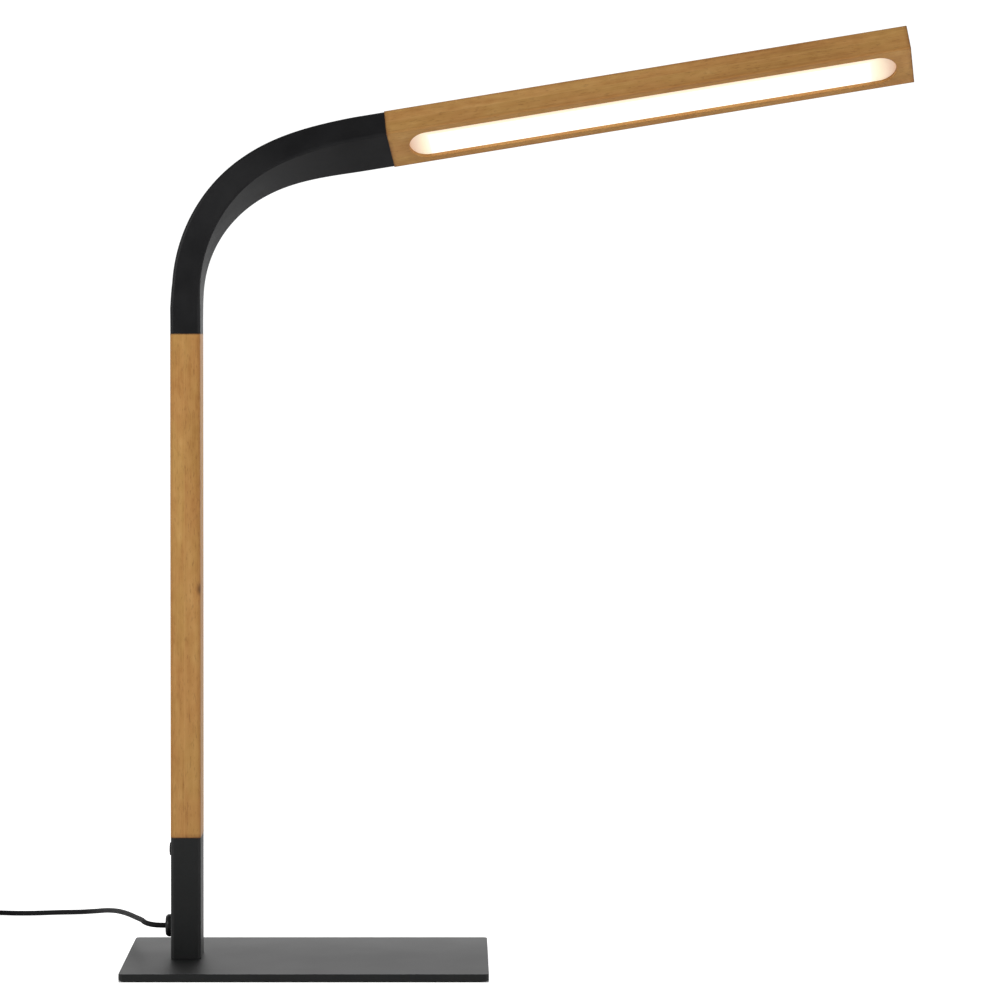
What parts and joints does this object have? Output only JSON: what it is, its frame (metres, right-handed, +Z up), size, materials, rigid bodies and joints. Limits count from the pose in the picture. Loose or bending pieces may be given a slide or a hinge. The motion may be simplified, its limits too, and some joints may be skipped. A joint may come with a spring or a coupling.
{
  "type": "table lamp",
  "caption": "Desk lamp: flat steel base, upright bar with a push-button socket, bendable rubber-sleeved neck and a wooden head bar with an opal LED window.",
  "frame": {"origin": "centre of the base's underside, on the surface that the lamp stands on", "axes": "+Z up; +X from the upright towards the head's side; +Y to the rear; the button and the lead are on the -X side"},
  "size_m": [0.6902, 0.3119, 0.6211],
  "materials": {
    "powder_coat": "fine matt black powder coat",
    "foam": "thin closed-cell foam",
    "bare_steel": "zinc-plated steel",
    "black_plastic": "matt moulded plastic",
    "grey_plastic": "moulded plastic",
    "cord_jacket": "smooth black cable jacket",
    "tie_fabric": "woven hook-and-loop band",
    "green_board": "green circuit board",
    "white_board": "white circuit board with lights",
    "wood": "oiled, fine straight grain",
    "aluminium": "plain aluminium",
    "silicone": "matt black silicone",
    "opal": "opal diffuser, lit",
    "plated_pin": "nickel-plated brass pins"
  },
  "bodies": {
    "stand": {"base_plate": "powder_coat", "base_pad": "foam", "base_screw_front": "bare_steel", "base_screw_rear": "bare_steel", "socket_foot": "bare_steel", "socket_tube": "powder_coat", "cord_grommet": "black_plastic", "inlet_lead": "cord_jacket", "switch_body": "grey_plastic", "dimmer_board": "green_board", "board_screw_front": "bare_steel", "board_screw_rear": "bare_steel", "post_wood": "wood", "neck_spigot": "aluminium", "gooseneck_core": "bare_steel", "neck_sleeve": "silicone", "light_lead": "grey_plastic", "cord_lead": "cord_jacket", "cord_coil": "cord_jacket", "cord_tail": "cord_jacket", "cord_tie": "tie_fabric", "adaptor_body": "black_plastic", "adaptor_cover": "black_plastic", "adaptor_pin_left": "plated_pin", "adaptor_pin_right": "plated_pin", "adaptor_relief": "black_plastic"},
    "switch": {"switch_button": "black_plastic"},
    "neck_root": {"neck_former_1": "grey_plastic", "neck_former_2": "grey_plastic"},
    "neck_lower": {"neck_former_3": "grey_plastic", "neck_former_4": "grey_plastic"},
    "neck_middle": {"neck_former_5": "grey_plastic", "neck_former_6": "grey_plastic"},
    "neck_upper": {"neck_former_7": "grey_plastic", "neck_former_8": "grey_plastic"},
    "head": {"neck_former_9": "grey_plastic", "head_spigot": "aluminium", "head_body": "wood", "heat_strip": "aluminium", "led_board": "white_board", "diffuser": "opal", "strip_screw_near": "bare_steel", "strip_screw_far": "bare_steel"}
  },
  "joints": [
    {"name": "switch_press", "type": "slide", "parent": "stand", "child": "switch", "axis": [1, 0, 0], "range_m": [0, 0.0005], "stiffness_N_per_m": 600, "springref_m": -0.001},
    {"name": "neck_sway", "type": "hinge", "parent": "stand", "child": "neck_root", "pos_m": [-0.08, 0, 0.436], "axis": [1, 0, 0], "range_deg": [-25, 25], "deforming": ["neck_sleeve", "gooseneck_core", "light_lead"]},
    {"name": "neck_bend_lower", "type": "hinge", "parent": "neck_root", "child": "neck_lower", "pos_m": [-0.07474, 0, 0.47443], "axis": [0, 1, 0], "range_deg": [-26.9, 18.1], "deforming": ["neck_sleeve", "gooseneck_core", "light_lead"]},
    {"name": "neck_bend_middle", "type": "hinge", "parent": "neck_lower", "child": "neck_middle", "pos_m": [-0.05414, 0, 0.50836], "axis": [0, 1, 0], "range_deg": [-26.9, 18.1], "deforming": ["neck_sleeve", "gooseneck_core", "light_lead"]},
    {"name": "neck_bend_upper", "type": "hinge", "parent": "neck_middle", "child": "neck_upper", "pos_m": [-0.02139, -0.00058, 0.5308], "axis": [0, 1, 0], "range_deg": [-26.9, 18.1], "deforming": ["neck_sleeve", "gooseneck_core", "light_lead"]},
    {"name": "head_twist", "type": "hinge", "parent": "neck_upper", "child": "head", "pos_m": [0.05447, -0.00448, 0.54765], "axis": [0.9854, -0.0603, 0.159], "range_deg": [-7.5, 82.5], "deforming": ["neck_sleeve", "gooseneck_core", "light_lead"]}
  ]
}
